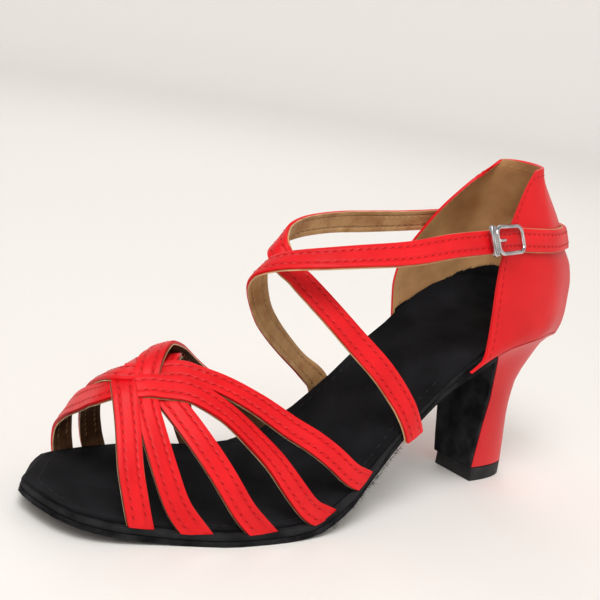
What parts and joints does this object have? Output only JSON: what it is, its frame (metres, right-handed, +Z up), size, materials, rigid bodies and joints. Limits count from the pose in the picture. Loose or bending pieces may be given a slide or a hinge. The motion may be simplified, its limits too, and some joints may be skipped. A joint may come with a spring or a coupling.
{
  "type": "ballroom dance shoe",
  "caption": "Open ballroom dance sandal for the left foot, with crossing satin toe and ankle straps, a closed heel cup, a side buckle and a flared heel.",
  "frame": {"origin": "on the bottom face of the heel's top piece, which stands on the floor", "axes": "+X along the shoe from the toe to the heel, +Y to the inner side of the left foot, +Z up"},
  "size_m": [0.2234, 0.0849, 0.1255],
  "materials": {
    "strap_satin": "red satin with a soft sheen",
    "heel_satin": "red satin stretched over the heel",
    "sock_suede": "black suede",
    "outsole_suede": "black suede with a rough edge",
    "board_wrap": "matte black wrap",
    "top_piece_rubber": "matte black",
    "buckle_chrome": "polished"
  },
  "bodies": {
    "root": {"insole_board": "board_wrap", "insole_sock": "sock_suede", "vamp_straps": "strap_satin", "heel_counter": "strap_satin", "ankle_straps": "strap_satin", "outsole": "outsole_suede", "heel": "heel_satin", "heel_top_piece": "top_piece_rubber", "buckle_frame": "buckle_chrome", "buckle_hook": "buckle_chrome", "buckle_prong": "buckle_chrome"}
  },
  "joints": []
}
